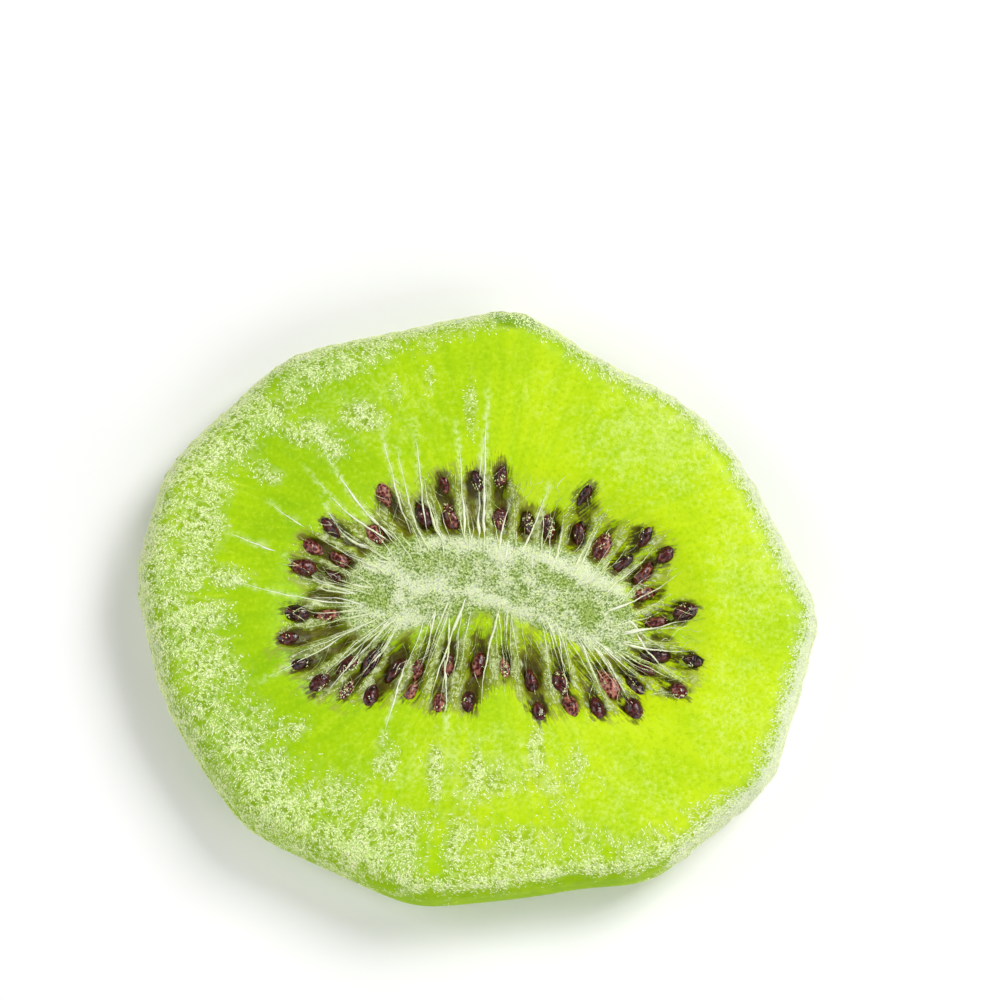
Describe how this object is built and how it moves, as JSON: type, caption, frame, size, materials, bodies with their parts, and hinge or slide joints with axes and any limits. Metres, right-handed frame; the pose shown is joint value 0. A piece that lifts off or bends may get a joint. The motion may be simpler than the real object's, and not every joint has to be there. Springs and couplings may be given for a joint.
{
  "type": "candied kiwi slice",
  "caption": "Slice of candied kiwi fruit: lime flesh with a knife-peeled edge, a pale bean-shaped core, a ring of seeds in pockets round it and a frost of sugar.",
  "frame": {"origin": "middle of the slice's box, on the surface that its back cut face rests on", "axes": "+Z out of the cut face that shows, +X along the slice's longest side and along its core, +Y across the core, towards the peeled edge's highest point in the picture"},
  "size_m": [0.0501, 0.0442, 0.0072],
  "materials": {
    "flesh": "moist, see-through lime flesh under a thin crust of sugar",
    "core": "dull, fibrous and sugar-dusted",
    "seed": "glossy, finely pitted",
    "fibre": "thin pale strands, slightly shiny",
    "sugar": "fine clear to white crystals"
  },
  "bodies": {
    "root": {"kiwi_slice": "flesh"}
  },
  "joints": []
}
